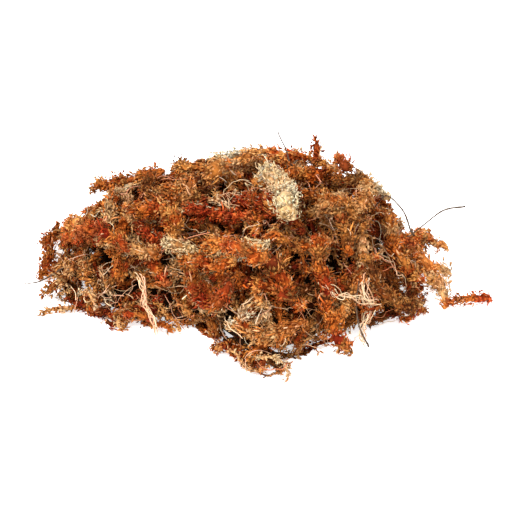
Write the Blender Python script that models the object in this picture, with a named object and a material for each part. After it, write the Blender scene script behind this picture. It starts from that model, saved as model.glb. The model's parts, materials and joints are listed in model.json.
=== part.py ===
"""A clump of loose sphagnum moss, as it lies when it is tipped out on a table.

The clump is a low mound of leafy stems that lie over and across each other. Stems deep in the mound
hold together as one matted body with a flat underside. The stems that lie loose on it, and the fine
woody twigs that came with them, are separate pieces.

Metres, +Z up. The origin is on the table, under the middle of the mound. +X runs along its length.
"""

import math
import random

import bmesh
import bpy
import numpy as np
from mathutils import Matrix, Vector
from mathutils.bvhtree import BVHTree

MM = 0.001
SEED = 3

# The mound. OUTLINE is its reach on the table every 30 degrees, counted from +X towards +Y.
CORE_HEIGHT = 52 * MM
OUTLINE = [r * MM for r in (101, 98, 94, 91, 101, 121, 126, 98, 66, 102, 82, 91)]
SIDE_POWER = 2.2
CROWN_POWER = 0.7
CORE_INSET = 11 * MM
CORE_ROUNDING = math.radians(13)
CORE_LUMPS = 7 * MM
CORE_LOWEST = 2 * MM
CORE_PULL = 0.985
CORE_CELLS = 4
ON_PLANE = 0.02

# Where the mound is fuller than that: place, width and the share that it rises there.
RISES = (
    ((-78 * MM, 32 * MM), 30 * MM, 0.3),
    ((26 * MM, 14 * MM), 30 * MM, 0.13),
)

# A leafy stem: a limp axis with short leafy branches all round, which stand out as points.
LOOSE_SIDES = 6
MATTED_SIDES = 4
LOOSE_SPACING = 5.8 * MM
MATTED_SPACING = 8.0 * MM
LEAF_ROOT = 0.55
LEAF_JITTER = 0.22
LEAF_SWEEP = 0.4
STEM_RADIUS = (4.4 * MM, 5.8 * MM)
STEM_LENGTH = (40 * MM, 66 * MM)
SHORTEST_BEND = 13 * MM
HEAD_SWELL = 1.35
HEAD_SHARE = 0.24
CLOSING_SHARE = 0.16
LEAST_CLOSING = 0.04
FOOT_RADIUS = 0.4
FOOT_SHARE = 0.2

# The ways that scattered stems take over the mound.
RIM = 8 * MM
WAY_STEPS = 5
WAYS_TRIED = 6
TRIES_TO_FIT = 60
START_POWER = 0.43
START_REACH = 0.98
RIM_SHARE = 0.78
RIM_SPREAD = 0.7
BEND = 0.6
SWAY = 0.5
SWAY_PACE = 1.3
GOLDEN_ANGLE = math.pi * (3 - math.sqrt(5))

# How stems lie on each other, and the clearance that is left between two separate ones.
NESTING = 0.8
FEELERS = 8
FEELER_SHARES = (0.5, 0.9)
SINK = 0.7
SLACK_ROUNDS = 7
TIP_DROOP = 0.6
STEEPEST = 1.7
GAP = 0.35 * MM
FURTHEST = 60 * MM
HALVINGS = 8
FLOOR_LIFT = 0.4 * MM
CURVE_STEPS = 12
WELD = 0.001 * MM

MATTED_STEMS = 81
LOOSE_STEMS = 23
COLOUR_ORDER = ("rust", "ochre", "russet", "rust", "umber", "rust", "straw", "russet", "ochre", "rust")

PAINT = {
    "rust": (0.36, 0.105, 0.028),
    "russet": (0.19, 0.042, 0.016),
    "ochre": (0.52, 0.25, 0.075),
    "straw": (0.66, 0.47, 0.21),
    "umber": (0.17, 0.072, 0.027),
    "twig": (0.035, 0.024, 0.018),
}

# Stems that stand out in the clump: name, colour, radius, and the way that each takes in millimetres.
# A point's third number is the least height of the stem's middle; 0 is wherever it comes to lie.
CHOSEN_STEMS = (
    ("long_front", "rust", 6.0, ((-2, -62, 0), (7, -78, 0), (15, -88, 0), (20, -96, 0))),
    ("front_fall", "ochre", 5.2, ((-14, -90, 0), (-2, -101, 0), (10, -105, 0), (24, -104, 0))),
    ("front_hook", "russet", 5.4, ((-12, -82, 0), (-22, -87, 0), (-33, -80, 0), (-38, -66, 0))),
    ("front_left", "rust", 5.2, ((-38, -57, 0), (-34, -69, 0), (-26, -79, 0), (-14, -86, 0))),
    ("right_front", "rust", 5.2, ((28, -58, 0), (37, -74, 0), (40, -86, 0), (50, -86, 0))),
    ("corner_front", "umber", 5.0, ((58, -52, 0), (70, -62, 0), (82, -58, 0), (90, -48, 0))),
    ("left_arc", "rust", 5.0, ((-80, -48, 0), (-82, -32, 0), (-70, -24, 0), (-54, -32, 0), (-46, -44, 0))),
    ("left_lip", "ochre", 4.6, ((-92, -36, 0), (-80, -42, 0), (-66, -50, 0), (-56, -54, 0))),
    ("left_low", "russet", 4.8, ((-108, -22, 0), (-98, -38, 0), (-84, -48, 0), (-74, -54, 0))),
    ("left_tuft", "straw", 4.6, ((-54, -46, 0), (-44, -50, 0), (-32, -48, 0))),
    ("middle_tuft", "straw", 4.4, ((-18, -64, 0), (-8, -72, 0), (4, -72, 0))),
    ("middle_front", "rust", 5.2, ((-30, -62, 0), (-20, -76, 0), (-6, -86, 0), (4, -82, 0))),
    ("right_drop", "ochre", 5.6, ((82, -6, 0), (94, -14, 0), (104, -23, 0), (106, -35, 0))),
    ("red_point", "russet", 4.4, ((109, -37, 0), (117, -32, 0), (126, -28, 0), (136, -24, 0))),
    ("right_stub", "ochre", 4.6, ((103, 3, 0), (112, 3, 0), (122, 5, 0), (131, 4, 0))),
    ("right_top", "ochre", 4.4, ((84, 4, 0), (94, 9, 0), (104, 12, 14), (113, 13, 13))),
    ("left_high", "ochre", 4.4, ((-98, 30, 0), (-110, 34, 0), (-121, 38, 0), (-130, 43, 0), (-138, 50, 0))),
    ("left_hook", "rust", 4.8, ((-126, 41, 0), (-132, 34, 0), (-130, 22, 0), (-129, 8, 0), (-134, -3, 0))),
    ("left_stub", "umber", 4.4, ((-112, -26, 0), (-119, -25, 0), (-127, -22, 0), (-134, -18, 0))),
    ("left_sprig", "ochre", 2.6, ((-113, -38, 0), (-121, -37, 0), (-129, -38, 0), (-137, -42, 0))),
    ("left_edge", "rust", 4.8, ((-104, 6, 0), (-112, -6, 0), (-110, -20, 0), (-102, -30, 0))),
    ("crown_arch", "ochre", 4.4, ((28, -34, 60), (38, -29, 66), (48, -31, 64), (58, -40, 54))),
    ("crown_bend", "ochre", 5.0, ((56, 8, 0), (60, -8, 0), (58, -24, 0), (54, -40, 0))),
    ("crown_back", "ochre", 5.0, ((-104, 44, 0), (-95, 56, 0), (-81, 60, 0), (-65, 58, 0))),
    ("crown_top", "ochre", 4.6, ((-18, 13, 0), (-6, 19, 0), (6, 19, 0), (16, 11, 0))),
    ("crown_left", "ochre", 5.6, ((-56, -6, 0), (-44, -6, 0), (-32, 0, 0), (-22, 8, 0))),
    ("straw_tuft", "straw", 8.2, ((2, -16, 0), (6, -26, 0), (9, -38, 0), (11, -50, 0), (14, -62, 0))),
    ("crown_point", "russet", 4.0, ((28, 12, 0), (31, 15, 79), (31, 17, 87), (31, 17, 94))),
    ("red_head", "russet", 6.4, ((44, 0, 0), (49, 6, 76), (52, 10, 82))),
    ("right_head", "rust", 4.6, ((80, -24, 0), (86, -18, 0), (92, -12, 44))),
)

# Fine woody twigs: the way of each in millimetres, with its least heights.
TWIG_RADIUS = 0.75 * MM
TWIG_TIP = 0.6
TWIG_SIDES = 4
CHOSEN_TWIGS = (
    ("twig_right", ((84, -20, 40), (98, -8, 46), (106, -2, 52), (113, 2, 49), (119, 4, 50))),
    ("twig_shoulder", ((62, 6, 0), (70, 2, 57), (78, -4, 53), (84, -8, 47), (88, -14, 0))),
    ("twig_crown", ((20, 4, 0), (15, 6, 76), (11, 8, 84), (9, 9, 91))),
    ("twig_front", ((54, -58, 0), (52, -68, 0), (54, -76, 0), (59, -83, 0))),
    ("twig_left", ((-114, -22, 0), (-123, -20, 0), (-134, -13, 0), (-142, -2, 0))),
)


def between(a, b, c, d, t):
    """What is a share t of the way from b to c on the smooth curve through all four."""
    return b + 0.5 * t * (c - a + t * (2 * a - 5 * b + 4 * c - d + t * (3 * (b - c) + d - a)))


def reach_at(angle):
    """How far the mound reaches on the table at an angle: a closed smooth curve through OUTLINE."""
    count = len(OUTLINE)
    turn = (angle / math.tau * count) % count
    first = int(turn)
    a, b, c, d = (OUTLINE[(first + step) % count] for step in (-1, 0, 1, 2))
    return between(a, b, c, d, turn - first)


def core_reach(angle):
    """How far the matted middle reaches on the table: the mound's outline, rounded off and set in."""
    return sum(reach_at(angle + turn) for turn in (-CORE_ROUNDING, 0, CORE_ROUNDING)) / 3 - CORE_INSET


def core_height(x, y):
    """Height of the matted middle over a point of the table, or 0 outside it."""
    share = math.hypot(x, y) / core_reach(math.atan2(y, x))
    if share >= 1:
        return 0.0
    fullness = 1.0
    for middle, width, rise in RISES:
        fullness += rise * math.exp(-math.dist((x, y), middle) ** 2 / (2 * width**2))
    return CORE_HEIGHT * fullness * (1 - share**SIDE_POWER) ** CROWN_POWER


class Heap:
    """What has been laid down so far: round contact points for laying, and faces for the last fit."""

    def __init__(self):
        self.points = np.zeros((0, 3))
        self.radii = np.zeros(0)
        self.corners = []
        self.faces = []

    def add_contacts(self, points, radii):
        self.points = np.vstack([self.points, points])
        self.radii = np.append(self.radii, radii)

    def add_faces(self, mesh):
        first = len(self.corners)
        self.corners += [tuple(vertex.co) for vertex in mesh.vertices]
        self.faces += [tuple(first + corner for corner in face.vertices) for face in mesh.polygons]

    def tree(self):
        return BVHTree.FromPolygons(self.corners, self.faces)

    def height_for(self, x, y, radius):
        """Lowest middle height at which a round of this radius lies on the table, mound and stems."""
        lowest = radius + core_height(x, y)
        for share in FEELER_SHARES:
            for side in range(FEELERS):
                angle = math.tau * side / FEELERS
                across = share * radius
                there = core_height(x + across * math.cos(angle), y + across * math.sin(angle))
                if there > 0:
                    lowest = max(lowest, there + radius * math.sqrt(1 - share**2))
        if len(self.radii):
            both = NESTING * (self.radii + radius)
            square = both**2 - (self.points[:, 0] - x) ** 2 - (self.points[:, 1] - y) ** 2
            under = square > 0
            if under.any():
                lowest = max(lowest, float((self.points[under, 2] + np.sqrt(square[under])).max()))
        return lowest


def smooth_way(way, spacing):
    """Points at an even spacing on a smooth curve through the way's own points."""
    ends = [2 * way[0] - way[1], *way, 2 * way[-1] - way[-2]]
    fine = []
    for a, b, c, d in zip(ends, ends[1:], ends[2:], ends[3:]):
        fine += [between(a, b, c, d, step / CURVE_STEPS) for step in range(CURVE_STEPS)]
    fine.append(way[-1])
    steps = [(q - p).length for p, q in zip(fine, fine[1:])]
    count = max(4, round(sum(steps) / spacing))
    points, walked, index = [fine[0]], 0.0, 0
    for ring in range(1, count):
        goal = sum(steps) * ring / count
        while walked + steps[index] < goal:
            walked += steps[index]
            index += 1
        points.append(fine[index].lerp(fine[index + 1], (goal - walked) / steps[index]))
    return points + [fine[-1]]


def lay(heap, points, radius, spacing, sink=0.0):
    """The same way with each point lifted to where the stem comes to lie, bridging what is between."""
    need = []
    for i, p in enumerate(points):
        clear = FLOOR_LIFT + radius * (1 + LEAF_JITTER) * stem_profile(i / (len(points) - 1))
        need.append(max(p.z, clear, heap.height_for(p.x, p.y, radius) - sink))
    height = list(need)
    for _ in range(SLACK_ROUNDS):
        last = height[:]
        for i in range(1, len(height) - 1):
            highest = max(last[i - 1], last[i + 1])
            height[i] = max(need[i], (last[i - 1] + last[i + 1]) / 2, highest - STEEPEST * spacing)
        height[0] = max(need[0], height[1] - TIP_DROOP * spacing)
        height[-1] = max(need[-1], height[-2] - TIP_DROOP * spacing)
    laid = [Vector((p.x, p.y, z)) for p, z in zip(points, height)]
    return smooth_way(laid, spacing)


def stem_profile(share):
    """Radius along a leafy stem, as a share of its own: a thin foot, an even length and a round head."""
    foot = min(1.0, FOOT_RADIUS + (1 - FOOT_RADIUS) * share / FOOT_SHARE)
    swell = 1 + (HEAD_SWELL - 1) * math.sin(math.pi * max(0.0, share - 1 + HEAD_SHARE) / HEAD_SHARE)
    close = math.sqrt(min(1.0, max(0.0, 1 - share) / CLOSING_SHARE + LEAST_CLOSING))
    return foot * swell * close


def tube_mesh(name, points, radii, sides):
    """A tube through the points, from a bevelled curve, with its ring and side numbers for each vertex."""
    curve = bpy.data.curves.new(name, "CURVE")
    curve.dimensions = "3D"
    curve.bevel_depth = 1.0
    curve.bevel_resolution = sides // 2 - 2
    curve.use_fill_caps = True
    spline = curve.splines.new("POLY")
    spline.points.add(len(points) - 1)
    for point, place, radius in zip(spline.points, points, radii):
        point.co = (*place, 1.0)
        point.radius = radius
    holder = bpy.data.objects.new(name, curve)
    bpy.context.scene.collection.objects.link(holder)
    mesh = bpy.data.meshes.new_from_object(holder.evaluated_get(bpy.context.evaluated_depsgraph_get()))
    bpy.data.objects.remove(holder)
    bpy.data.curves.remove(curve)
    return mesh


def close_mesh(mesh):
    """Welds the tube's caps and splits its faces, each across its shorter diagonal."""
    work = bmesh.new()
    work.from_mesh(mesh)
    bmesh.ops.remove_doubles(work, verts=work.verts, dist=WELD)
    bmesh.ops.triangulate(work, faces=work.faces, quad_method="SHORT_EDGE")
    bmesh.ops.recalc_face_normals(work, faces=work.faces)
    work.to_mesh(mesh)
    work.free()


def leafy_mesh(name, points, radius, sides, rng):
    """A leafy stem: every other point of the tube stands out as a leaf tip, swept towards the head."""
    last = len(points) - 1
    mesh = tube_mesh(name, points, [radius] * len(points), sides)
    tangents = [(points[min(i + 1, last)] - points[max(i - 1, 0)]).normalized() for i in range(last + 1)]
    reach = [
        [1 + rng.uniform(-LEAF_JITTER, LEAF_JITTER) for _ in range(sides)] for _ in range(last + 1)
    ]
    for vertex in mesh.vertices:
        ring, side = divmod(vertex.index - 2 * sides, sides)
        if ring < 0:
            ring = last if vertex.index < sides else 0
        share = ring / last
        is_leaf = (ring + side) % 2 == 0 and 0 < ring < last
        out = (vertex.co - points[ring]).normalized()
        far = radius * stem_profile(share) * (reach[ring][side] if is_leaf else LEAF_ROOT)
        sweep = LEAF_SWEEP * (points[ring] - points[ring - 1]).length if is_leaf else 0.0
        vertex.co = points[ring] + far * out + sweep * tangents[ring]
    close_mesh(mesh)
    return mesh


def moved(mesh, shift):
    return [tuple(vertex.co + shift) for vertex in mesh.vertices]


def slide_until_near(mesh, tree, start, direction, lowest=-1.0):
    """Moves along direction from start, by the furthest that keeps the mesh clear and above the table."""
    faces = [tuple(face.vertices) for face in mesh.polygons]

    def is_free(distance):
        corners = moved(mesh, start + direction * distance)
        if min(corner[2] for corner in corners) < lowest:
            return False
        return not BVHTree.FromPolygons(corners, faces).overlap(tree)

    near = 0.0
    while near > -FURTHEST and not is_free(near):
        near -= MM
    far = near + MM
    while far < FURTHEST and is_free(far):
        near, far = far, far + MM
    for _ in range(HALVINGS):
        middle = (near + far) / 2
        near, far = (middle, far) if is_free(middle) else (near, middle)
    return start + direction * near


def settle(mesh, heap):
    """Lets a separate piece down until it all but touches, or slides it up to the mound on the table."""
    tree = heap.tree()
    down = Vector((0, 0, -1))
    shift = slide_until_near(mesh, tree, Vector((0, 0, 0)), down, lowest=FLOOR_LIFT)
    grazing = BVHTree.FromPolygons(
        moved(mesh, shift + down * GAP), [tuple(face.vertices) for face in mesh.polygons]
    ).overlap(tree)
    if grazing:
        shift -= down * GAP
    else:
        middle = sum((vertex.co for vertex in mesh.vertices), Vector()) / len(mesh.vertices)
        inwards = Vector((-middle.x, -middle.y, 0)).normalized()
        shift = slide_until_near(mesh, tree, shift, inwards) - inwards * GAP
    mesh.transform(Matrix.Translation(shift))
    mesh.update()
    return shift


def material_named(colour):
    material = bpy.data.materials.get(colour) or bpy.data.materials.new(colour)
    material.use_nodes = True
    shader = material.node_tree.nodes["Principled BSDF"]
    shader.inputs["Base Color"].default_value = (*PAINT[colour], 1.0)
    shader.inputs["Roughness"].default_value = 0.85
    shader.inputs["Metallic"].default_value = 0.0
    return material


def add_object(name, mesh, colour, collection):
    mesh.materials.clear()
    mesh.materials.append(material_named(colour))
    piece = bpy.data.objects.new(name, mesh)
    collection.objects.link(piece)
    return piece


def core_mesh(rng):
    """The mound's matted middle: the upper half of a ball, drawn out to the outline and flat below."""
    work = bmesh.new()
    bmesh.ops.create_icosphere(work, subdivisions=CORE_CELLS, radius=1.0)
    everything = work.verts[:] + work.edges[:] + work.faces[:]
    bmesh.ops.bisect_plane(
        work, geom=everything, dist=ON_PLANE, plane_co=(0, 0, 0), plane_no=(0, 0, 1), clear_inner=True
    )
    bmesh.ops.remove_doubles(work, verts=work.verts, dist=ON_PLANE)
    bmesh.ops.edgeloop_fill(work, edges=[edge for edge in work.edges if edge.is_boundary])
    for vertex in work.verts:
        angle = math.atan2(vertex.co.y, vertex.co.x)
        share = min(1.0, math.acos(max(0.0, min(1.0, vertex.co.z))) / (math.pi / 2))
        on_table = vertex.co.z < ON_PLANE
        lump = 0.0 if on_table else rng.uniform(0, CORE_LUMPS)
        reach = core_reach(angle) * share
        x, y = reach * math.cos(angle), reach * math.sin(angle)
        height = 0.0 if on_table else max(CORE_LOWEST, core_height(x * CORE_PULL, y * CORE_PULL) + lump)
        vertex.co = (x, y, height)
    bmesh.ops.recalc_face_normals(work, faces=work.faces)
    mesh = bpy.data.meshes.new("moss_mass")
    work.to_mesh(mesh)
    work.free()
    return mesh


def height_span(body):
    heights = [vertex.co.z for vertex in body]
    return max(heights) - min(heights)


def separate_bodies(work):
    """The vertices of each body that isn't joined to the others."""
    left = set(work.verts)
    bodies = []
    while left:
        body, edge = set(), [left.pop()]
        while edge:
            vertex = edge.pop()
            body.add(vertex)
            for link in vertex.link_edges:
                other = link.other_vert(vertex)
                if other in left:
                    left.remove(other)
                    edge.append(other)
        bodies.append(body)
    return bodies


def keep_tallest_body(mesh):
    """Drops what a union leaves beside its one body: a loose scrap, or the wall of a sealed hollow."""
    work = bmesh.new()
    work.from_mesh(mesh)
    bodies = sorted(separate_bodies(work), key=height_span)
    bmesh.ops.delete(work, geom=[vertex for body in bodies[:-1] for vertex in body], context="VERTS")
    bmesh.ops.triangulate(work, faces=work.faces)
    work.to_mesh(mesh)
    work.free()


def wandering_way(rng, middle, heading, bend):
    """A way that wanders off to both sides of its middle point, turning as it goes."""
    step_length = rng.uniform(*STEM_LENGTH) / (2 * WAY_STEPS)
    sway = SWAY * rng.uniform(-1, 1) / SHORTEST_BEND
    halves = []
    for sign in (1, -1):
        at, facing, half = middle, heading, []
        for step in range(WAY_STEPS):
            at = at + sign * step_length * Vector((math.cos(facing), math.sin(facing), 0))
            facing += sign * step_length * (bend + sway * math.sin(SWAY_PACE * step))
            half.append(at)
        halves.append(half)
    return halves[1][::-1] + [middle] + halves[0]


def scattered_way(rng, number, count):
    """A way on the mound. Middles spread by the golden angle; low down, stems lie along the rim."""
    turn = number * GOLDEN_ANGLE
    share = ((number + 0.5) / count) ** START_POWER * START_REACH
    reach = reach_at(turn) * share
    middle = Vector((reach * math.cos(turn), reach * math.sin(turn), 0))
    for _ in range(TRIES_TO_FIT):
        if share > RIM_SHARE:
            heading = turn + math.pi / 2 + rng.uniform(-RIM_SPREAD, RIM_SPREAD)
            bend = 1 / reach_at(turn)
        else:
            heading = rng.uniform(0, math.tau)
            bend = BEND * rng.uniform(-1, 1) / SHORTEST_BEND
        way = wandering_way(rng, middle, heading, bend)
        if all(p.length < reach_at(math.atan2(p.y, p.x)) + RIM for p in way):
            break
    return way


def clearest_way(rng, number, count, heap, radius):
    """Of a few wandering ways, the one that lies lowest, so that stems fill gaps before they pile up."""

    def crowding(way):
        return sum(heap.height_for(p.x, p.y, radius) - core_height(p.x, p.y) for p in way)

    return min([scattered_way(rng, number, count) for _ in range(WAYS_TRIED)], key=crowding)


def new_collection(name):
    collection = bpy.data.collections.new(name)
    bpy.context.scene.collection.children.link(collection)
    return collection


def add_matted_stems(heap, rng, matted):
    for number in reversed(range(MATTED_STEMS)):
        radius = rng.uniform(*STEM_RADIUS)
        points = smooth_way(clearest_way(rng, number, MATTED_STEMS, heap, radius), MATTED_SPACING)
        points = lay(heap, points, radius, MATTED_SPACING, sink=radius * SINK)
        heap.add_contacts(np.array(points), [radius] * len(points))
        mesh = leafy_mesh("matted", points, radius, MATTED_SIDES, rng)
        add_object(f"matted_{number}", mesh, "umber", matted)


def join_collection(mass, parts):
    """Makes one body of an object and all the objects of a collection, which it takes out."""
    union = mass.modifiers.new("stems", "BOOLEAN")
    union.operation = "UNION"
    union.operand_type = "COLLECTION"
    union.collection = parts
    union.solver = "MANIFOLD"
    joined = bpy.data.meshes.new_from_object(mass.evaluated_get(bpy.context.evaluated_depsgraph_get()))
    mass.modifiers.clear()
    keep_tallest_body(joined)
    joined.materials.clear()
    joined.materials.append(material_named("umber"))
    mass.data = joined
    for part in list(parts.objects):
        bpy.data.objects.remove(part)
    bpy.data.collections.remove(parts)


def add_mass(heap, rng, clump):
    """The matted body of the clump: its middle, with the matted stems that stand out of it."""
    matted = new_collection("matted_stems")
    add_matted_stems(heap, rng, matted)
    mass = add_object("moss_mass", core_mesh(rng), "umber", clump)
    join_collection(mass, matted)
    heap.add_faces(mass.data)


def add_stem(heap, rng, clump, name, colour, radius, way):
    points = lay(heap, smooth_way(way, LOOSE_SPACING), radius, LOOSE_SPACING)
    mesh = leafy_mesh(name, points, radius, LOOSE_SIDES, rng)
    shift = settle(mesh, heap)
    heap.add_contacts(np.array([p + shift for p in points]), [radius] * len(points))
    heap.add_faces(mesh)
    add_object(name, mesh, colour, clump)


def add_loose_stems(heap, rng, clump):
    for number in reversed(range(LOOSE_STEMS)):
        colour = COLOUR_ORDER[number % len(COLOUR_ORDER)]
        radius = rng.uniform(*STEM_RADIUS)
        way = clearest_way(rng, number, LOOSE_STEMS, heap, radius)
        add_stem(heap, rng, clump, f"{colour}_stem_{number + 1:02d}", colour, radius, way)


def add_chosen_stems(heap, rng, clump):
    for name, colour, radius, way in CHOSEN_STEMS:
        add_stem(heap, rng, clump, name, colour, radius * MM, [Vector(p) * MM for p in way])


def add_twigs(heap, clump):
    for name, way in CHOSEN_TWIGS:
        points = smooth_way([Vector(p) * MM for p in way], LOOSE_SPACING)
        points = lay(heap, points, TWIG_RADIUS, LOOSE_SPACING)
        radii = [TWIG_RADIUS * (1 - (1 - TWIG_TIP) * i / len(points)) for i in range(len(points))]
        mesh = tube_mesh(name, points, radii, TWIG_SIDES)
        close_mesh(mesh)
        settle(mesh, heap)
        heap.add_faces(mesh)
        add_object(name, mesh, "twig", clump)


def build():
    for old in list(bpy.data.objects):
        bpy.data.objects.remove(old)
    clump = new_collection("sphagnum_moss_clump")
    rng = random.Random(SEED)
    heap = Heap()
    add_mass(heap, rng, clump)
    add_loose_stems(heap, rng, clump)
    add_chosen_stems(heap, rng, clump)
    add_twigs(heap, clump)


if __name__ == "__main__":
    build()
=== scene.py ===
"""Looks for a clump of loose, dried sphagnum moss lying on a pale surface.

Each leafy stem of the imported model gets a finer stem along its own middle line: a limp axis set all
round with small curved branchlets and leaves. The matted middle of the clump gets layers of such
stems that follow its surface, over a dark backing, with round heads, short sprigs and bare pale stems
among them.
"""

import heapq
import json
import math

import bpy
import numpy as np
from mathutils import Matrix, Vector
from mathutils.bvhtree import BVHTree


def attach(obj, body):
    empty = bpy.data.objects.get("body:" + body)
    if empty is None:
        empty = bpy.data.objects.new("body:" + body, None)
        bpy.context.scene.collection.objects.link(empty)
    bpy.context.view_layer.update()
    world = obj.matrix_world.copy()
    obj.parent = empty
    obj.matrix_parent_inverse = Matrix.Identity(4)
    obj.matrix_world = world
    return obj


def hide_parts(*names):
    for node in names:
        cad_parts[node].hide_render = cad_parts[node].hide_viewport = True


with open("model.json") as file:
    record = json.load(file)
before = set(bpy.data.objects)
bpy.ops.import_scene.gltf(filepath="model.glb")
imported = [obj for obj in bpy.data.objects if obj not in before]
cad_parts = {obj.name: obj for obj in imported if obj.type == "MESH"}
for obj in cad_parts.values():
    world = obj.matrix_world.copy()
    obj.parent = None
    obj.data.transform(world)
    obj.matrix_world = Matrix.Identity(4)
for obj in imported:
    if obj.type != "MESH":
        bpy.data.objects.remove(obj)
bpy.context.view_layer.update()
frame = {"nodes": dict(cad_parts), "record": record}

MM = 0.001
SEED = 5
TINY = 1e-12
FLOOR_CLEARANCE = 0.3 * MM

# Linear colours of the dried moss: each has four shades that mix.
PALETTE = {
    "rust": ((0.56, 0.120, 0.014), (0.66, 0.20, 0.032), (0.42, 0.070, 0.010), (0.74, 0.33, 0.08)),
    "russet": ((0.40, 0.036, 0.008), (0.52, 0.075, 0.014), (0.22, 0.028, 0.008), (0.58, 0.16, 0.040)),
    "ochre": ((0.66, 0.26, 0.058), (0.76, 0.38, 0.12), (0.56, 0.16, 0.028), (0.80, 0.47, 0.20)),
    "straw": ((0.80, 0.50, 0.22), (0.78, 0.44, 0.22), (0.72, 0.37, 0.14), (0.84, 0.62, 0.36)),
    "yellow": ((0.84, 0.62, 0.32), (0.86, 0.69, 0.43), (0.76, 0.49, 0.22), (0.88, 0.75, 0.53)),
    "umber": ((0.27, 0.086, 0.020), (0.38, 0.135, 0.032), (0.15, 0.044, 0.012), (0.50, 0.22, 0.060)),
}
DRY_TIPS = ((0.78, 0.43, 0.22), (0.80, 0.52, 0.30), (0.74, 0.32, 0.15), (0.80, 0.60, 0.38))
FIBRE_TINTS = ((0.80, 0.46, 0.27), (0.82, 0.57, 0.34), (0.86, 0.70, 0.46))
CURL_TINTS = (
    (0.80, 0.46, 0.27),
    (0.82, 0.57, 0.34),
    (0.70, 0.28, 0.15),
    (0.56, 0.20, 0.09),
    (0.86, 0.70, 0.46),
)
TWIG_TINTS = ((0.075, 0.045, 0.028), (0.13, 0.085, 0.055))
# A near-black tint for the backing inside the heap: painted shade for its shadowed inside.
BACKING_PAINTED_SHADE_TINT = (0.040, 0.016, 0.006)

# How colours mix: the share of a stem's parts in its own colour, the colours of the others, and how
# the shades of a colour mix and spread.
OWN_SHARE = 0.7
FADES_INTO = {
    "rust": ("russet", "ochre", "umber"),
    "russet": ("rust", "umber", "rust"),
    "ochre": ("straw", "rust", "umber"),
    "straw": ("ochre", "straw", "straw"),
    "yellow": ("straw", "yellow", "yellow"),
    "umber": ("rust", "ochre", "russet"),
}
MIX_CURVE = 1.5
MIX_SPREAD = 0.18

# How dark and bright they get. Red loses least in the dark and blue most, so painted shade and darker
# tones turn warmer.
BRIGHTEST = 0.84
CHANNEL_POWERS = np.array((0.75, 1.1, 1.5))

# Some branchlets are dried pale.
DRY_CHANCE = 0.24
DRY_MIX = 0.6

# Lines: how the middle line of a solid is found, how a line is made smooth, and a direction that no
# stem starts along.
WELDS_PER_M = 1e6
MIDDLE_SPACING = 5 * MM
MIDDLE_BLUR = 1.1
FEWEST_MIDDLES = 6
END_SHARE = 0.6
FINE_STEP = 0.1
FEWEST_POINTS = 4
ASIDE = (0.3, 0.2, 0.93)

# A leafy stem's line wavers, and so does its radius. Its colour changes every few points.
POINT_SPACING = 0.7 * MM
LOOSE_SWELL = 1.6
SWAY_PACE = 9
LINE_SWAY = 0.2
RADIUS_PACE = 5
RADIUS_SWAY = 0.2
PATCH_POINTS = 6
STEM_SHADES = 0.22
PATCH_SHARE = 0.7
MIXED_SHARE = 0.3

# Branchlets lean out of their stem by an angle in degrees, and are stretched: pale stems have long
# limp ones. A few on any stem are longer than the others.
SPREADING = ((12, 70), 1.0)
LIMP = ((2, 45), 2.2)
LIMP_COLOURS = ("straw", "yellow")
BRANCHLETS_PER_MM2 = 0.056
BRANCHLET_LENGTH = (2.2 * MM, 9.5 * MM)
BRANCHLET_RADIUS = (0.32 * MM, 0.70 * MM)
BRANCHLET_TURN = (0.8, 4.2)
BRANCHLET_SPREAD = 0.12
BRANCHLET_REACH = (0.5, 1.1)
BRANCHLET_ROOT = (0.1, 0.5)
LONG_CHANCE = 0.12
LONG_STRETCH = 2.0
SPIRAL_TURN = 2.4
SPIRAL_POINTS = 3
SPIRAL_NOISE = 0.9
LEAD_NOISE = 0.3
CURL_ALONG = 0.6
CURL_INWARD = 0.5
CURL_NOISE = 0.7

# A branchlet's rings: their sides and sizes, where they stand, the painted shade at its foot, in its
# stem's shade, which lightens towards the middle, and the lighter tint of its tip.
BRANCHLET_SIDES = 3
RING_SCALES = (0.8, 1.0, 0.8)
RING_START = 0.5
TIP_REACH = 0.35
TAPER = 0.35
TAPER_CURVE = 1.5
RING_UNEVEN = (0.8, 1.2)
FOOT_PAINTED_SHADE = 0.55
PAINTED_SHADE_RISE = 0.5
RISE_SHARE = 0.5
TIP_BRIGHTNESS = (0.9, 1.45)

# Small leaves between the branchlets, folded along the middle.
LEAVES_PER_MM2 = 0.25
LEAF_LENGTH = (2.0 * MM, 4.4 * MM)
LEAF_HALF_WIDTH = (0.45 * MM, 0.95 * MM)
LEAF_AT = (0.3, 0.72)
LEAF_SPREAD = 0.1
LEAF_ALONG = 0.8
LEAF_OUT = 0.2
LEAF_NOISE = 0.45
LEAF_FOLD = 0.35
LEAF_WIDEST = 0.42
# Brightness of a leaf's corners from root to tip: painted shade at the root, where it lies against its
# stem, and a little lighter at the tip.
LEAF_CORNER_PAINTED_SHADE = (0.7, 1.0, 1.0, 1.1)
LEAF_FACES = ((0, 2, 1), (0, 1, 3), (0, 3, 2), (1, 2, 3))

# The crinkled body under them, painted darker as the shade under its branchlets and leaves.
BODY_SHARE = 0.36
BODY_PAINTED_SHADE = 0.5
BODY_SIDES = 7
BODY_CRINKLE = (0.55, 1.35)
BODY_MOTTLE = (0.4, 1.4)
BODY_END = 0.1
BODY_SHOULDER = 0.6

# Dark woody twigs: their radius from one end to the other, and how knotty they are.
TWIG_RADIUS = (0.5 * MM, 0.28 * MM)
TWIG_SPACING = 1.5 * MM
TWIG_KNOTS = 0.35
TWIG_SIDES = 7

# Round heads.
HEAD_BRANCHLETS_PER_MM2 = 0.26
HEAD_BIAS = 0.5
HEAD_REACH = (0.75, 1.15)
HEAD_CORE = 0.15
HEAD_CURL_INWARD = 0.3
HEAD_CURL_OUT = 0.5
HEAD_CURL_NOISE = 0.5

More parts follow.
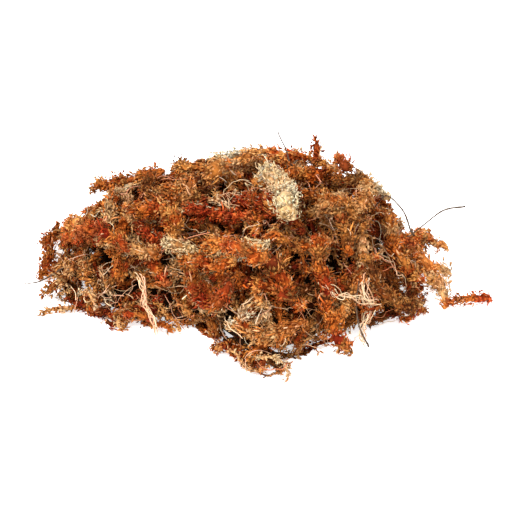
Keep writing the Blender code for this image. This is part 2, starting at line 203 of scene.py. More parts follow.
# Stems that end in a round head: the side on which it is, its colour and its radius.
HEADED = {
    "red_head": ((0, 0, 1), "russet", 5.2 * MM),
    "right_head": ((1, 0, 0.3), "rust", 4.6 * MM),
    "red_point": ((1, 0, 0), "russet", 3.4 * MM),
    "long_front": ((0, -1, 0), "rust", 4.6 * MM),
}
HEAD_SUNK = 0.6

# The backing of the matted middle is drawn in, painted near-black as the shade inside the heap, and
# has small leaves painted dark as shade too. Their half width is a share of their length.
BACKING_SCALE = (0.87, 0.87, 0.84)
BACKING_COLOURS = ("umber", "russet", "rust")
BACKING_LEAVES = 9000
BACKING_LEAF_OUT = 0.5
BACKING_LEAF_LENGTH = (1.5 * MM, 4.0 * MM)
BACKING_LEAF_HALF_WIDTH = 0.25
BACKING_LEAF_PAINTED_SHADE = 0.45

# Places on the surface, none where it faces down, and lines that wander over it.
UNDERSIDE = -0.7
CANDIDATES = 8
STEP = 3 * MM
LEAST_STEP = 0.3 * STEP
FIRST_TURN = 0.16
TURN_KEPT = 0.8
TURN_NOISE = 0.10
OUT_KEPT = 0.6
SMOOTHINGS = 2

# Layers of leafy stems over the matted middle. For each: how many stems, how high above the surface,
# their radius, the shares of their colours, their brightness (painted shade: darker the deeper or lower
# the layer lies, lighter for the strands on top) and how full of branchlets they are.
MOST_RUST = {"rust": 0.38, "umber": 0.27, "russet": 0.19, "ochre": 0.16}
MIXED = {"rust": 0.38, "ochre": 0.26, "straw": 0.11, "russet": 0.16, "umber": 0.09}
PALE = {"straw": 0.38, "ochre": 0.40, "rust": 0.22}
LAYERS = {
    "deep": (150, 0.0, (3.0 * MM, 4.4 * MM), MOST_RUST, 0.5, 0.7),
    "rim": (60, 1.0 * MM, (2.6 * MM, 4.0 * MM), MOST_RUST, 0.8, 0.8),
    "top": (160, 2.6 * MM, (3.0 * MM, 4.6 * MM), MIXED, 1.0, 0.95),
    "strands": (120, 4.4 * MM, (1.1 * MM, 2.0 * MM), PALE, 1.1, 1.0),
}
LAYER_STEPS = (6, 15)
RIM_HEIGHT = 16 * MM
SWELL_PHASES = (0.5, 2.5)
SWELL_CURVE = 0.5

# Round heads and short leafy sprigs that stand out of the heap.
HEADS = 46
HEAD_COLOURS = {"rust": 0.4, "russet": 0.25, "ochre": 0.25, "umber": 0.1}
HEAD_LIFT = 3 * MM
HEAD_RADIUS = (3.5 * MM, 5.2 * MM)
SPRIGS = 90
SPRIG_COLOURS = {"rust": 0.36, "ochre": 0.3, "russet": 0.16, "straw": 0.18}
SPRIG_STEPS = (3, 6)
SPRIG_RADIUS = (1.3 * MM, 2.2 * MM)
SPRIG_TAPER = 0.6
SPRIG_OUT = 0.8
SPRIG_NOISE = 0.7
SPRIG_WANDER = 0.35

# Bare stems that curl over the heap.
CURLS = 560
CURL_STEPS = (4, 12)
CURL_LIFT = (3.5 * MM, 6.5 * MM)
CURL_SWAY = 0.9 * MM
CURL_RADIUS = (0.14 * MM, 0.34 * MM)
CURL_TAPER = 0.5
CURL_SPACING = 1.4 * MM
CURL_SIDES = 4

# Bundles of bare fibres: how many, how far apart, their radius, and the way that they take in mm.
BUNDLES = {
    "right_front": (
        (12, 2.6 * MM, 0.34 * MM),
        ((60, -54, 40), (56, -61, 32), (59, -66, 21), (56, -69, 11), (58, -73, 2)),
    ),
    "across_front": (
        (7, 2.2 * MM, 0.26 * MM),
        ((32, -68, 42), (40, -72, 35), (48, -70, 33), (56, -66, 27), (65, -66, 26)),
    ),
    "left_front": (
        (8, 2.0 * MM, 0.30 * MM),
        ((-70, -54, 38), (-65, -60, 32), (-65, -63, 22), (-60, -66, 14), (-59, -67, 5)),
    ),
    "crown_loop": (
        (1, 0.1 * MM, 0.5 * MM),
        ((33, 11, 68), (34, 12, 83), (39, 12, 87), (43, 12, 80), (42, 11, 68)),
    ),
}
FIBRE_UNEVEN = (0.6, 1.1)
FIBRE_SPACING = 1.2 * MM
FIBRE_PACE = 3
FIBRE_SWAY = 0.45
FIBRE_STARTS = 3
FIBRE_TAPER = 0.6
FIBRE_SIDES = 5

# The material of the moss.
MOTTLE_SCALE = 900
MOTTLE_DETAIL = 3
MOTTLE_FROM = (0.3, 0.7)
MOTTLE_TO = (0.85, 1.15)
MOSS_ROUGHNESS = 0.8
MOSS_SPECULAR = 0.08
LIGHT_THROUGH = 0.32

# The floor, the room and the lamps: place, size and power of each lamp.
WHITE = (1, 1, 1, 1)
FLOOR_HALF = 4
FLOOR_COLOUR = (0.92, 0.92, 0.92, 1)
FLOOR_ROUGHNESS = 0.9
FLOOR_GLOW = 0.65
ROOM_BRIGHTNESS = 1.22
LAMPS = {
    "key": ((-0.6, -0.7, 1.3), 0.6, 36),
    "fill": ((0.9, -0.8, 0.8), 0.8, 6),
}

# The camera: 30 degrees above the table, with a lens by which a pixel covers 0.6 mm at the origin.
ELEVATION = math.radians(30)
DISTANCE = 0.9
PIXELS = 510
PIXEL_COVERS = 0.6 * MM
ORIGIN_AT = (262, 283)
SENSOR_MM = 36

rng = np.random.default_rng(SEED)


def unit(v):
    return v / np.maximum(np.linalg.norm(v, axis=-1, keepdims=True), TINY)


def welded(mesh):
    """Points and triangles of a mesh, with points at the same place made one."""
    points = np.empty(len(mesh.vertices) * 3)
    mesh.vertices.foreach_get("co", points)
    points = points.reshape(-1, 3)
    mesh.calc_loop_triangles()
    faces = np.empty(len(mesh.loop_triangles) * 3, np.int32)
    mesh.loop_triangles.foreach_get("vertices", faces)
    places = np.round(points * WELDS_PER_M)
    _, first, index = np.unique(places, axis=0, return_index=True, return_inverse=True)
    return points[first], index.reshape(-1)[faces].reshape(-1, 3)


def distances(points, neighbours, start):
    """Length of the shortest way along edges from one point to each other."""
    far = np.full(len(points), np.inf)
    far[start] = 0.0
    queue = [(0.0, start)]
    while queue:
        so_far, here = heapq.heappop(queue)
        if so_far > far[here]:
            continue
        for there in neighbours[here]:
            new = so_far + np.linalg.norm(points[there] - points[here])
            if new < far[there]:
                far[there] = new
                heapq.heappush(queue, (new, there))
    return far


def end_to_end(points, faces):
    """The two ends of a long thin solid, and each point's distance from either along its edges."""
    neighbours = [set() for _ in points]
    for a, b, c in faces:
        neighbours[a] |= {b, c}
        neighbours[b] |= {a, c}
        neighbours[c] |= {a, b}
    first = int(np.argmax(distances(points, neighbours, 0)))
    from_first = distances(points, neighbours, first)
    last = int(np.argmax(from_first))
    return first, last, from_first, distances(points, neighbours, last)


def middle_line(mesh):
    """The middle line of a long thin solid, and its radius along it."""
    points, faces = welded(mesh)
    first, last, from_first, from_last = end_to_end(points, faces)
    share = from_first / (from_first + from_last)
    count = max(FEWEST_MIDDLES, round(from_first[last] / MIDDLE_SPACING))
    middles = np.linspace(0, 1, count)
    weight = np.exp(-(((share[None] - middles[:, None]) * count / MIDDLE_BLUR) ** 2))
    weight /= weight.sum(1, keepdims=True)
    line = weight @ points
    tangent = unit(np.gradient(line, axis=0))
    off = points[None] - line[:, None]
    off -= tangent[:, None] * (off * tangent[:, None]).sum(2, keepdims=True)
    radius = (weight * np.linalg.norm(off, axis=2)).sum(1)
    line = np.vstack([points[first], line, points[last]])
    return line, np.concatenate([END_SHARE * radius[:1], radius, END_SHARE * radius[-1:]])


def resampled(line, radius, spacing):
    """A smooth line with a point every spacing, and the radius there."""
    padded = np.vstack([2 * line[0] - line[1], line, 2 * line[-1] - line[-2]])
    thick = np.concatenate([[radius[0]], radius, [radius[-1]]])
    at = np.arange(0, len(line) - 1, FINE_STEP)
    i = np.floor(at).astype(int)
    t = (at - i)[:, None]

    def blend(values):
        a, b, c, d = values[i], values[i + 1], values[i + 2], values[i + 3]
        return b + 0.5 * t * (c - a + t * (2 * a - 5 * b + 4 * c - d + t * (3 * (b - c) + d - a)))

    fine = blend(padded)
    wide = blend(thick[:, None])[:, 0]
    run = np.concatenate([[0], np.cumsum(np.linalg.norm(np.diff(fine, axis=0), axis=1))])
    marks = np.linspace(0, run[-1], max(FEWEST_POINTS, int(run[-1] / spacing)))
    places = np.stack([np.interp(marks, run, fine[:, k]) for k in range(3)], 1)
    return places, np.interp(marks, run, wide)


def frames(line):
    """Tangent and two steady sideways directions at each point of a line."""
    tangent = unit(np.gradient(line, axis=0))
    side = np.empty_like(tangent)
    start = np.cross(tangent[0], ASIDE)
    side[0] = start / max(np.linalg.norm(start), TINY)
    for k in range(1, len(line)):
        carried = side[k - 1] - tangent[k] * (side[k - 1] @ tangent[k])
        side[k] = carried / max(np.linalg.norm(carried), TINY)
    return tangent, side, np.cross(tangent, side)


def spokes(side, up, angle):
    """Directions out from each point of a line, at each angle about it."""
    shape = (len(side),) + (1,) * angle.ndim + (3,)
    return side.reshape(shape) * np.cos(angle)[..., None] + up.reshape(shape) * np.sin(angle)[..., None]


def wavering(count, pace, size):
    """Random values about nought that drift from one to the next every so many points."""
    knots = rng.normal(0, size, int(count / pace) + 3)
    return np.interp(np.arange(count) / pace + rng.random(), np.arange(len(knots)), knots)


def swaying(count, pace, size):
    """Random offsets in all three directions that drift along a line."""
    return np.stack([wavering(count, pace, size) for _ in range(3)], 1)


def warm(brightness):
    """Brightness for each colour channel: what is darker is warmer, too, whether painted shade or a
    darker tone.
    """
    return brightness**CHANNEL_POWERS


def limited(tint):
    """Tints with those that are too bright for any dried plant made darker, of the same hue."""
    return tint / np.maximum(1, tint.max(1, keepdims=True) / BRIGHTEST)


def shaded(tint, spread):
    """Tints with some made lighter and some darker."""
    return limited(tint * warm(np.exp(rng.normal(0, spread, (len(tint), 1)))))


def pick(colours, count):
    """Random mixtures of a colour's shades, with some lighter and darker."""
    shades = np.array(colours)
    first, second = rng.integers(0, len(shades), (2, count))
    share = rng.random((count, 1)) ** MIX_CURVE
    return shaded(shades[first] * (1 - share) + shades[second] * share, MIX_SPREAD)


def mixed(colour, count):
    """Tints for the parts of a stem: mostly its own colour, some of the colours that it fades into."""
    kinds = rng.random(count)
    tint = pick(PALETTE[colour], count)
    others = FADES_INTO[colour]
    past_own = (kinds - OWN_SHARE) / (1 - OWN_SHARE)
    which = np.minimum((past_own * len(others)).astype(int), len(others) - 1)
    for number, other in enumerate(others):
        chosen = (kinds > OWN_SHARE) & (which == number)
        tint[chosen] = pick(PALETTE[other], int(chosen.sum()))
    return tint


def drawn(shares, count=None):
    """Names drawn at random by their shares."""
    return rng.choice(list(shares), count, p=list(shares.values()))


class Soup:
    """Triangles gathered for one piece, with a colour at each corner point."""

    def __init__(self):
        self.points = []
        self.faces = []
        self.tints = []
        self.count = 0

    def add(self, points, faces, tints):
        self.points.append(points)
        self.faces.append(faces + self.count)
        self.tints.append(tints)
        self.count += len(points)


def cap(start, sides, peak):
    """Triangles from the edges of the ring that begins at point start to the point peak."""
    spot = np.arange(sides)
    return np.stack([start + spot, start + (spot + 1) % sides, np.full(sides, peak)], -1)


def reversed_cap(start, sides, peak):
    """The same triangles, facing the other way."""
    return cap(start, sides, peak)[:, [1, 0, 2]]


def tube_faces(count, sides):
    """Triangles of a tube of rings, closed at both ends by two more points."""
    ring, at = np.meshgrid(np.arange(count - 1), np.arange(sides), indexing="ij")
    a = ring * sides + at
    b = ring * sides + (at + 1) % sides
    wall = np.stack([a, b, b + sides, a, b + sides, a + sides], -1).reshape(-1, 3)
    foot = reversed_cap(0, sides, count * sides)
    head = cap((count - 1) * sides, sides, count * sides + 1)
    return np.vstack([wall, foot, head])


def add_tube(soup, line, rings, ring_tints, tint):
    """Adds a tube of the rings about a line, closed at the line's ends."""
    points = np.vstack([rings.reshape(-1, 3), line[:1], line[-1:]])
    tints = np.vstack([ring_tints.reshape(-1, 3), tint[:1], tint[-1:]])
    soup.add(points, tube_faces(*rings.shape[:2]), tints)


def tube(soup, line, radius, tint, sides):
    """A closed tube along a line, with its own radius and colour at each point."""
    _, side, up = frames(line)
    angle = np.arange(sides) * math.tau / sides
    rings = line[:, None] + spokes(side, up, angle) * radius[:, None, None]
    add_tube(soup, line, rings, np.repeat(tint, sides, axis=0), tint)


def crinkled_body(soup, line, radius, tint):
    """The thick of a leafy stem: a tube crinkled into lumps, narrow at its ends."""
    _, side, up = frames(line)
    angle = np.arange(BODY_SIDES) * math.tau / BODY_SIDES + rng.uniform(0, math.tau)
    wide = radius[:, None] * rng.uniform(*BODY_CRINKLE, (len(line), BODY_SIDES))
    wide[[0, -1]] *= BODY_END
    wide[[1, -2]] *= BODY_SHOULDER
    rings = line[:, None] + spokes(side, up, angle) * wide[:, :, None]
    ring_tints = tint[:, None] * rng.uniform(*BODY_MOTTLE, (len(line), BODY_SIDES, 1))
    add_tube(soup, line, rings, ring_tints, tint)


def copies(faces, count, points_each):
    """The triangles of one small form, repeated for many that follow each other."""
    return (faces[None] + (np.arange(count) * points_each)[:, None, None]).reshape(-1, 3)


def branchlet_faces(rings, sides):
    """Triangles of one branchlet: rings each turned by half a side from the last, a tip and a foot."""
    ring, at = np.meshgrid(np.arange(rings - 1), np.arange(sides), indexing="ij")
    a = ring * sides + at
    b = ring * sides + (at + 1) % sides
    even = ring % 2 == 0
    ahead = np.where(even, a, b) + sides
    behind = np.where(even, ring * sides + (at - 1) % sides, a) + sides
    right = np.stack([a, b, ahead], -1).reshape(-1, 3)
    left = np.stack([a, ahead, behind], -1).reshape(-1, 3)
    tip = cap((rings - 1) * sides, sides, rings * sides)
    foot = reversed_cap(0, sides, rings * sides + 1)
    return np.vstack([right, left, tip, foot])


def bent(root, lead, curl, turn, length, shares):
    """Points on arcs that start along lead and turn towards curl, at shares of their length."""
    angle = shares[None] * turn[:, None]
    ahead = (np.sin(angle) / turn[:, None])[:, :, None] * lead[:, None]
    across = ((1 - np.cos(angle)) / turn[:, None])[:, :, None] * curl[:, None]
    return root[:, None] + length[:, None, None] * (ahead + across)


def branchlets(soup, root, lead, curl, length, tint, tip_tint):
    """Many branchlets at once: curled, tapering and three-sided. Each turns from lead towards curl."""
    count, rings, sides = len(root), len(RING_SCALES), BRANCHLET_SIDES
    turn = rng.uniform(*BRANCHLET_TURN, count)
    radius = rng.uniform(*BRANCHLET_RADIUS, count)
    shares = np.append((np.arange(rings) + RING_START) / (rings + TIP_REACH), 1.0)
    spine = bent(root, lead, curl, turn, length, shares)
    side = unit(np.cross(lead, unit(rng.normal(size=(count, 3)))))
    up = np.cross(unit(lead), side)
    taper = np.array(RING_SCALES) * (1 - TAPER * np.linspace(0, 1, rings) ** TAPER_CURVE)
    wide = radius[:, None] * taper[None] * rng.uniform(*RING_UNEVEN, (count, rings))
    half_turned = np.arange(rings)[:, None] % 2
    angle = np.arange(sides)[None, :] * math.tau / sides + half_turned * math.pi / sides
    walls = spine[:, :rings, None] + spokes(side, up, angle) * wide[:, :, None, None]
    points = np.concatenate([walls.reshape(count, -1, 3), spine[:, rings:], root[:, None]], axis=1)

    # Painted shade: a branchlet is darkest at its foot, in its stem's shade, and lightens halfway along;
    # towards the tip it takes its tip tint.
    share = np.concatenate([np.repeat(shares[:rings], sides), [1.0, 0.0]])[None, :, None]
    brightness = FOOT_PAINTED_SHADE + PAINTED_SHADE_RISE * np.minimum(1, share / RISE_SHARE)
    tints = (tint[:, None] * (1 - share) + tip_tint[:, None] * share) * warm(brightness)
    faces = copies(branchlet_faces(rings, sides), count, rings * sides + 2)
    soup.add(points.reshape(-1, 3), faces, tints.reshape(-1, 3))


def add_branchlets(soup, root, lead, curl, length, tint):
    """Branchlets that curl as they grow, some of them dried pale, with lighter tips."""
    count = len(root)
    curl = unit(curl - lead * (curl * lead).sum(1, keepdims=True))
    tint = shaded(tint, BRANCHLET_SPREAD)
    dry = rng.random(count) < DRY_CHANCE
    tint[dry] = DRY_MIX * pick(DRY_TIPS, int(dry.sum())) + (1 - DRY_MIX) * tint[dry]
    tip_tint = limited(tint * rng.uniform(*TIP_BRIGHTNESS, (count, 1)))
    branchlets(soup, root, lead, curl, length, tint, tip_tint)


def leaves(soup, root, lead, out, length, half_width, tint):
    """Many small folded leaves at once, each a thin closed wedge that points along lead."""
    side = unit(np.cross(lead, out)) * half_width[:, None]
    fold = unit(out) * (LEAF_FOLD * half_width)[:, None]
    widest = root + lead * (LEAF_WIDEST * length)[:, None]
    tip = root + lead * length[:, None]
    points = np.stack([root, widest + side + fold, widest - side + fold, tip], axis=1)
    faces = copies(np.array(LEAF_FACES), len(root), len(LEAF_CORNER_PAINTED_SHADE))
    # Each leaf is painted darker at its root, as shade against its stem, and a little lighter at its tip.
    tints = tint[:, None] * np.array(LEAF_CORNER_PAINTED_SHADE)[None, :, None]
    soup.add(points.reshape(-1, 3), faces, tints.reshape(-1, 3))


class Stem:
    """A leafy stem's wavering line, with its radius, directions and tint at each point."""

    def __init__(self, line, radius, colour, brightness):
        line, radius = resampled(line, radius, POINT_SPACING)
        count = len(line)
        self.line = line + swaying(count, SWAY_PACE, LINE_SWAY) * radius[:, None]
        self.radius = radius * np.exp(wavering(count, RADIUS_PACE, RADIUS_SWAY))
        self.tangent, self.side, self.up = frames(self.line)
        self.colour = colour
        # brightness: the layer's painted shade, times a random tone for each stem.
        self.brightness = brightness * math.exp(rng.normal(0, STEM_SHADES))
        patches = np.repeat(mixed(colour, count // PATCH_POINTS + 1), PATCH_POINTS, axis=0)
        self.patches = warm(self.brightness) * patches[:count]

    def around(self, k, angle):
        """Directions out of the stem at its points k, at angles about it."""
        return self.side[k] * np.cos(angle)[:, None] + self.up[k] * np.sin(angle)[:, None]

    def tints(self, k):
        """Tints for what grows at the points k."""
        new = self.brightness * mixed(self.colour, len(k))
        return PATCH_SHARE * self.patches[k] + MIXED_SHARE * new


def stem_branchlets(soup, stem, form, count):
    """Branchlets that stand out of a stem in a loose spiral and lean towards its tip."""
    lean, stretch = form
    k = rng.integers(0, len(stem.line), count)
    angle = SPIRAL_TURN * (k // SPIRAL_POINTS) + rng.normal(0, SPIRAL_NOISE, count)
    along, around = stem.tangent[k], stem.around(k, angle)
    tilt = np.radians(rng.uniform(*lean, count))[:, None]
    lead = np.cos(tilt) * along + np.sin(tilt) * around + LEAD_NOISE * rng.normal(size=(count, 3))
    curl = CURL_ALONG * along - CURL_INWARD * around + CURL_NOISE * rng.normal(size=(count, 3))
    length = stretch * stem.radius[k] * rng.uniform(*BRANCHLET_REACH, count)
    length *= np.where(rng.random(count) < LONG_CHANCE, LONG_STRETCH, 1.0)
    root = stem.line[k] + around * (stem.radius[k] * rng.uniform(*BRANCHLET_ROOT, count))[:, None]
    add_branchlets(soup, root, unit(lead), curl, np.clip(length, *BRANCHLET_LENGTH), stem.tints(k))


def stem_leaves(soup, stem, count):
    """Small leaves all over a stem, most of them lying along it."""
    k = rng.integers(0, len(stem.line), count)
    around = stem.around(k, rng.random(count) * math.tau)
    root = stem.line[k] + around * (stem.radius[k] * rng.uniform(*LEAF_AT, count))[:, None]
    lead = LEAF_ALONG * stem.tangent[k] + LEAF_OUT * around + LEAF_NOISE * rng.normal(size=(count, 3))
    tint = shaded(stem.tints(k), LEAF_SPREAD)
    length = rng.uniform(*LEAF_LENGTH, count)
    half_width = rng.uniform(*LEAF_HALF_WIDTH, count)
    leaves(soup, root, unit(lead), around, length, half_width, tint)


def leafy_stem(soup, line, radius, colour, form=SPREADING, brightness=1.0, fullness=1.0):
    """A fine leafy stem along a line: curled branchlets, small leaves and a crinkled body."""
    stem = Stem(line, radius, colour, brightness)
    area = fullness * math.tau * stem.radius.mean() * POINT_SPACING * len(stem.line) / MM**2
    stem_branchlets(soup, stem, form, int(area * BRANCHLETS_PER_MM2))
    stem_leaves(soup, stem, int(area * LEAVES_PER_MM2))
    body_radius = stem.radius[::2] * BODY_SHARE
    # The body is painted darker, as shade under the branchlets and leaves.
    crinkled_body(soup, stem.line[::2], body_radius, warm(BODY_PAINTED_SHADE) * stem.patches[::2])


def form_of(colour):
    """How a stem's branchlets lie: long and limp on a pale stem, standing out all round on others."""
    return LIMP if colour in LIMP_COLOURS else SPREADING


def leafy_head(soup, middle, out, radius, colour):
    """A round head: branchlets that stand out all round from one place and curl inwards."""
    count = int(4 * math.pi * (radius / MM) ** 2 * HEAD_BRANCHLETS_PER_MM2)
    around = unit(rng.normal(size=(count, 3)) + HEAD_BIAS * out)
    tint = mixed(colour, count)
    length = radius * rng.uniform(*HEAD_REACH, count)
    root = middle + around * (HEAD_CORE * radius)
    curl = HEAD_CURL_OUT * out - HEAD_CURL_INWARD * around + HEAD_CURL_NOISE * rng.normal(size=(count, 3))
    add_branchlets(soup, root, around, curl, length, tint)


def moss_material():
    """Dry leafy tissue: matt, a little light passing through, colour from the leaf's own tint."""
    material = bpy.data.materials.new("dry_moss")
    material.use_nodes = True
    nodes, links = material.node_tree.nodes, material.node_tree.links
    nodes.clear()
    output = nodes.new("ShaderNodeOutputMaterial")
    tint = nodes.new("ShaderNodeAttribute")
    tint.attribute_name = "tint"
    place = nodes.new("ShaderNodeTexCoord")
    mottle = nodes.new("ShaderNodeTexNoise")
    mottle.inputs["Scale"].default_value = MOTTLE_SCALE
    mottle.inputs["Detail"].default_value = MOTTLE_DETAIL
    spread = nodes.new("ShaderNodeMapRange")
    spread.inputs["From Min"].default_value = MOTTLE_FROM[0]
    spread.inputs["From Max"].default_value = MOTTLE_FROM[1]
    spread.inputs["To Min"].default_value = MOTTLE_TO[0]
    spread.inputs["To Max"].default_value = MOTTLE_TO[1]
    colour = nodes.new("ShaderNodeVectorMath")
    colour.operation = "SCALE"
    body = nodes.new("ShaderNodeBsdfPrincipled")
    body.inputs["Roughness"].default_value = MOSS_ROUGHNESS
    body.inputs["Specular IOR Level"].default_value = MOSS_SPECULAR
    through = nodes.new("ShaderNodeBsdfTranslucent")
    both = nodes.new("ShaderNodeMixShader")
    both.inputs["Fac"].default_value = LIGHT_THROUGH
    links.new(place.outputs["Object"], mottle.inputs["Vector"])
    links.new(mottle.outputs["Fac"], spread.inputs["Value"])
    links.new(tint.outputs["Color"], colour.inputs[0])
    links.new(spread.outputs["Result"], colour.inputs["Scale"])
    links.new(colour.outputs["Vector"], body.inputs["Base Color"])
    links.new(colour.outputs["Vector"], through.inputs["Color"])
    links.new(body.outputs["BSDF"], both.inputs[1])
    links.new(through.outputs["BSDF"], both.inputs[2])
    links.new(both.outputs["Shader"], output.inputs["Surface"])
    return material


def finish_piece(name, soup, material, nodes):
    """Makes the gathered triangles a piece that rides on the clump and stands for the given nodes."""
    points = np.vstack(soup.points)
    points[:, 2] = np.maximum(points[:, 2], FLOOR_CLEARANCE * (1 + rng.random(len(points))))
    faces = np.vstack(soup.faces)
    tints = np.vstack(soup.tints)
    mesh = bpy.data.meshes.new(name)
    mesh.vertices.add(len(points))
    mesh.vertices.foreach_set("co", points.ravel())
    mesh.loops.add(faces.size)
    mesh.loops.foreach_set("vertex_index", faces.ravel().astype(np.int32))
    mesh.polygons.add(len(faces))
    mesh.polygons.foreach_set("loop_start", np.arange(0, faces.size, 3, dtype=np.int32))
    mesh.update(calc_edges=True)
    attribute = mesh.attributes.new("tint", "FLOAT_COLOR", "POINT")
    attribute.data.foreach_set("color", np.hstack([tints, np.ones((len(tints), 1))]).ravel())
    mesh.materials.append(material)
    piece = bpy.data.objects.new(name, mesh)
    bpy.context.scene.collection.objects.link(piece)
    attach(piece, "root")
    if nodes:
        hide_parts(*nodes)


def smoothed(line):
    """The line with its kinks eased and its ends kept."""
    for _ in range(SMOOTHINGS):
        line[1:-1] = (line[:-2] + 2 * line[1:-1] + line[2:]) / 4
    return line


def surface_line(tree, start, normal, count, lift):
    """A line that wanders over a surface from its start, a little above it."""
    at, out = Vector(start), Vector(normal)
    heading = out.cross(Vector(rng.normal(size=3))).normalized()
    turn = rng.normal(0, FIRST_TURN)
    line = [at + out * lift]
    for _ in range(count):
        turn = TURN_KEPT * turn + rng.normal(0, TURN_NOISE)
        heading = (heading + out.cross(heading) * turn).normalized()
        place, normal, _, _ = tree.find_nearest(at + heading * STEP)
        out = (out * OUT_KEPT + normal * (1 - OUT_KEPT)).normalized()
        if (place - at).length > LEAST_STEP:
            heading = (place - at).normalized()
        heading = (heading - out * heading.dot(out)).normalized()
        at = place
        line.append(at + out * lift)
    return smoothed(np.array(line))


def points_on(points, faces, count):
    """Places spread evenly at random over a surface, with the direction that faces out there."""
    a, b, c = points[faces[:, 0]], points[faces[:, 1]], points[faces[:, 2]]
    normal = np.cross(b - a, c - a)
    area = np.linalg.norm(normal, axis=1)
    area[unit(normal)[:, 2] < UNDERSIDE] = 0
    chosen = rng.choice(len(faces), count, p=area / area.sum())
    s, t = rng.random((2, count, 1))
    over = s + t > 1
    s, t = np.where(over, 1 - s, s), np.where(over, 1 - t, t)
    place = a[chosen] + s * (b[chosen] - a[chosen]) + t * (c[chosen] - a[chosen])
    return place, unit(normal[chosen])


def spread_on(points, faces, count):
    """Places on a surface that keep away from each other: each the furthest off of a few at random."""
    place, normal = points_on(points, faces, count * CANDIDATES)
    chosen = [0]
    for number in range(1, count):
        tries = np.arange(number * CANDIDATES, (number + 1) * CANDIDATES)
        away = np.linalg.norm(place[tries][:, None] - place[chosen][None], axis=2).min(1)
        chosen.append(int(tries[away.argmax()]))
    return place[chosen], normal[chosen]


def twig(soup, line, radius):
    """A dark woody twig, uneven along its length."""
    line, _ = resampled(line, radius, TWIG_SPACING)
    count = len(line)
    knotty = np.linspace(*TWIG_RADIUS, count) * (1 + TWIG_KNOTS * rng.random(count))
    tube(soup, line, knotty, pick(TWIG_TINTS, count), TWIG_SIDES)


def end_head(soup, line, side, colour, radius):
    """A round head at that end of a line which lies further to the side given."""
    out = unit(np.array(side, float))
    tip = line[0] if (line[0] - line[-1]) @ out > 0 else line[-1]
    leafy_head(soup, tip - out * HEAD_SUNK * radius, out, radius, colour)


def loose_piece(node, solid, slot):
    """The fine form of a loose stem or a twig. A loose straw stem is the yellowest of all."""
    soup = Soup()
    line, radius = middle_line(solid.data)
    if slot == "twig":
        twig(soup, line, radius)
    else:
        colour = "yellow" if slot == "straw" else slot
        leafy_stem(soup, line, radius * LOOSE_SWELL, colour, form_of(colour))
    if node in HEADED:
        end_head(soup, line, *HEADED[node])
    finish_piece("fine_" + node, soup, moss, [node])


def matted_middle(points, faces):
    """A near-black backing inside the matted middle, painted shade, with leaves on it painted dark too.
    """
    soup = Soup()
    inner = points * BACKING_SCALE
    # The backing is painted near-black as the shade inside the heap, and its leaves are painted darker as
    # shade too.
    soup.add(inner, faces, np.repeat([BACKING_PAINTED_SHADE_TINT], len(points), axis=0))
    place, out = points_on(inner, faces, BACKING_LEAVES)
    lead = unit(BACKING_LEAF_OUT * out + rng.normal(size=out.shape))
    each = BACKING_LEAVES // len(BACKING_COLOURS)
    tint = BACKING_LEAF_PAINTED_SHADE * np.vstack([mixed(colour, each) for colour in BACKING_COLOURS])
    length = rng.uniform(*BACKING_LEAF_LENGTH, BACKING_LEAVES)
    leaves(soup, place, lead, out, length, BACKING_LEAF_HALF_WIDTH * length, tint)
    finish_piece("matted_middle", soup, moss, ["moss_mass"])


def swell(count):
    """A stem's thickness along its length: fullest just past the middle, thinner at its ends."""
    return np.sin(np.linspace(*SWELL_PHASES, count)) ** SWELL_CURVE


def matted_layer(name, points, faces, tree):
    """One layer of leafy stems that follow the surface below them, as a piece for each colour."""
    count, lift, thickness, shares, brightness, fullness = LAYERS[name]
    soups = {colour: Soup() for colour in shares}
    starts, normals = spread_on(points, faces, count)
    steps = rng.integers(*LAYER_STEPS, count)
    colours = drawn(shares, count)
    lines = [surface_line(tree, *first, lift) for first in zip(starts, normals, steps)]
    for line, colour in zip(lines, colours):
        radius = rng.uniform(*thickness) * swell(len(line))
        # The layer's brightness is painted shade: darker for the deep and rim layers, lighter for the
        # strands on top.
        leafy_stem(soups[colour], line, radius, colour, form_of(colour), brightness, fullness)
    for colour, soup in soups.items():
        finish_piece(f"matted_{name}_{colour}", soup, moss, [])


def heads(points, faces):
    """Round heads spread over the heap."""
    soup = Soup()
    for start, out in zip(*spread_on(points, faces, HEADS)):
        colour = drawn(HEAD_COLOURS)
        leafy_head(soup, start + out * HEAD_LIFT, out, rng.uniform(*HEAD_RADIUS), colour)
    finish_piece("leafy_heads", soup, moss, [])


def sprigs(points, faces):
    """Short leafy sprigs that stand out of the heap."""
    soup = Soup()
    for start, out in zip(*spread_on(points, faces, SPRIGS)):
        lead = unit(SPRIG_OUT * out + SPRIG_NOISE * rng.normal(size=3))
        line = [start]
        for _ in range(rng.integers(*SPRIG_STEPS)):
            lead = unit(lead + SPRIG_WANDER * rng.normal(size=3))
            line.append(line[-1] + STEP * lead)
        colour = drawn(SPRIG_COLOURS)
        radius = rng.uniform(*SPRIG_RADIUS) * np.linspace(1, SPRIG_TAPER, len(line))
        leafy_stem(soup, np.array(line), radius, colour)
    finish_piece("sprigs", soup, moss, [])


def bare_tube(soup, line, radius, tints, sides):
    """A bare stem of one tint along a line."""
    tube(soup, line, radius, pick(tints, 1).repeat(len(line), axis=0), sides)


def curls(soup, points, faces, tree):
    """Bare pale stems that curl over the heap."""
    starts, normals = points_on(points, faces, CURLS)
    lifts = rng.uniform(*CURL_LIFT, CURLS)
    for start, out, lift in zip(starts, normals, lifts):
        line = surface_line(tree, start, out, rng.integers(*CURL_STEPS), lift)
        line = line + np.cumsum(rng.normal(0, CURL_SWAY, line.shape), axis=0)
        radius = rng.uniform(*CURL_RADIUS) * np.linspace(1, CURL_TAPER, len(line))
        line, radius = resampled(line, radius, CURL_SPACING)
        bare_tube(soup, line, radius, CURL_TINTS, CURL_SIDES)


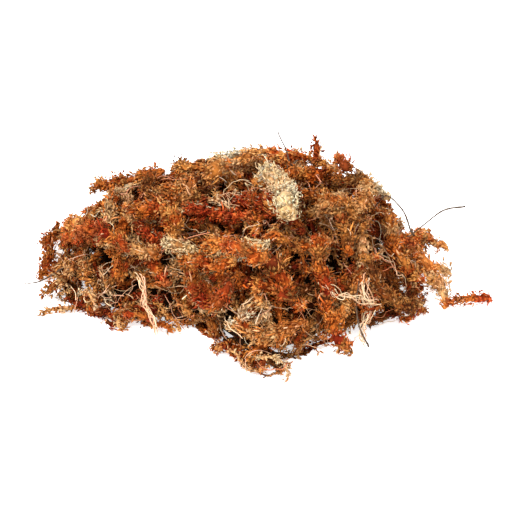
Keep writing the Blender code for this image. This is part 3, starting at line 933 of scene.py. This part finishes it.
def fibre(soup, apart, radius, way):
    """One fibre of a bundle. It starts somewhere in the first third of the bundle's way."""
    line = np.array(way) * MM + rng.normal(0, apart / 2, (len(way), 3))
    radius = np.full(len(way), radius * rng.uniform(*FIBRE_UNEVEN))
    line, radius = resampled(line, radius, FIBRE_SPACING)
    line = line + FIBRE_SWAY * apart * swaying(len(line), FIBRE_PACE, 1.0)
    first = rng.integers(0, max(1, len(line) // FIBRE_STARTS))
    radius = radius[first:] * np.linspace(1, FIBRE_TAPER, len(line) - first)
    bare_tube(soup, line[first:], radius, FIBRE_TINTS, FIBRE_SIDES)


def bare_stems(points, faces, tree):
    """Bare stems: those that curl over the heap, and the bundles of fibres."""
    soup = Soup()
    curls(soup, points, faces, tree)
    for (count, apart, radius), way in BUNDLES.values():
        for _ in range(count):
            fibre(soup, apart, radius, way)
    finish_piece("bare_stems", soup, moss, [])


def paper_material():
    """White paper that glows a little, so that it stays white under the heap's shade."""
    material = bpy.data.materials.new("paper_white")
    material.use_nodes = True
    inputs = material.node_tree.nodes["Principled BSDF"].inputs
    inputs["Base Color"].default_value = FLOOR_COLOUR
    inputs["Roughness"].default_value = FLOOR_ROUGHNESS
    inputs["Emission Color"].default_value = WHITE
    inputs["Emission Strength"].default_value = FLOOR_GLOW
    return material


def lay_floor():
    """The pale surface that the heap lies on."""
    half = FLOOR_HALF
    mesh = bpy.data.meshes.new("floor")
    corners = [(-half, -half, 0), (half, -half, 0), (half, half, 0), (-half, half, 0)]
    mesh.from_pydata(corners, [], [(0, 1, 2, 3)])
    mesh.materials.append(paper_material())
    floor = bpy.data.objects.new("floor", mesh)
    bpy.context.scene.collection.objects.link(floor)


def light_room():
    """Even light from all round."""
    world = bpy.data.worlds.new("studio")
    bpy.context.scene.world = world
    world.use_nodes = True
    inputs = world.node_tree.nodes["Background"].inputs
    inputs["Color"].default_value = WHITE
    inputs["Strength"].default_value = ROOM_BRIGHTNESS


def softbox(name, place, size, power):
    """A round lamp that faces the origin."""
    light = bpy.data.lights.new(name, "AREA")
    light.shape = "DISK"
    light.size = size
    light.energy = power
    lamp = bpy.data.objects.new(name, light)
    lamp.location = place
    lamp.rotation_euler = (-Vector(place)).to_track_quat("-Z", "Y").to_euler()
    bpy.context.scene.collection.objects.link(lamp)


def set_up_camera():
    """The camera of the photograph."""
    lens = bpy.data.cameras.new("camera")
    lens.sensor_width = SENSOR_MM
    lens.lens = SENSOR_MM * DISTANCE / (PIXELS * PIXEL_COVERS)
    lens.shift_x = (PIXELS / 2 - ORIGIN_AT[0]) / PIXELS
    lens.shift_y = (ORIGIN_AT[1] - PIXELS / 2) / PIXELS
    camera = bpy.data.objects.new("camera", lens)
    camera.location = (0, -DISTANCE * math.cos(ELEVATION), DISTANCE * math.sin(ELEVATION))
    camera.rotation_euler = (math.pi / 2 - ELEVATION, 0, 0)
    bpy.context.scene.collection.objects.link(camera)
    bpy.context.scene.camera = camera
    bpy.context.scene.view_settings.view_transform = "Standard"


moss = moss_material()
slots = {part["node"]: part["material_slot"] for part in frame["record"]["subparts"]}
for node, solid in sorted(frame["nodes"].items()):
    if node != "moss_mass":
        loose_piece(node, solid, slots[node])

points, faces = welded(frame["nodes"]["moss_mass"].data)
low_faces = faces[points[faces][:, :, 2].max(1) < RIM_HEIGHT]
tree = BVHTree.FromPolygons([tuple(p) for p in points], [tuple(f) for f in faces])
matted_middle(points, faces)
for name in LAYERS:
    matted_layer(name, points, low_faces if name == "rim" else faces, tree)
heads(points, faces)
sprigs(points, faces)
bare_stems(points, faces, tree)

lay_floor()
light_room()
for name, settings in LAMPS.items():
    softbox(name, *settings)
set_up_camera()
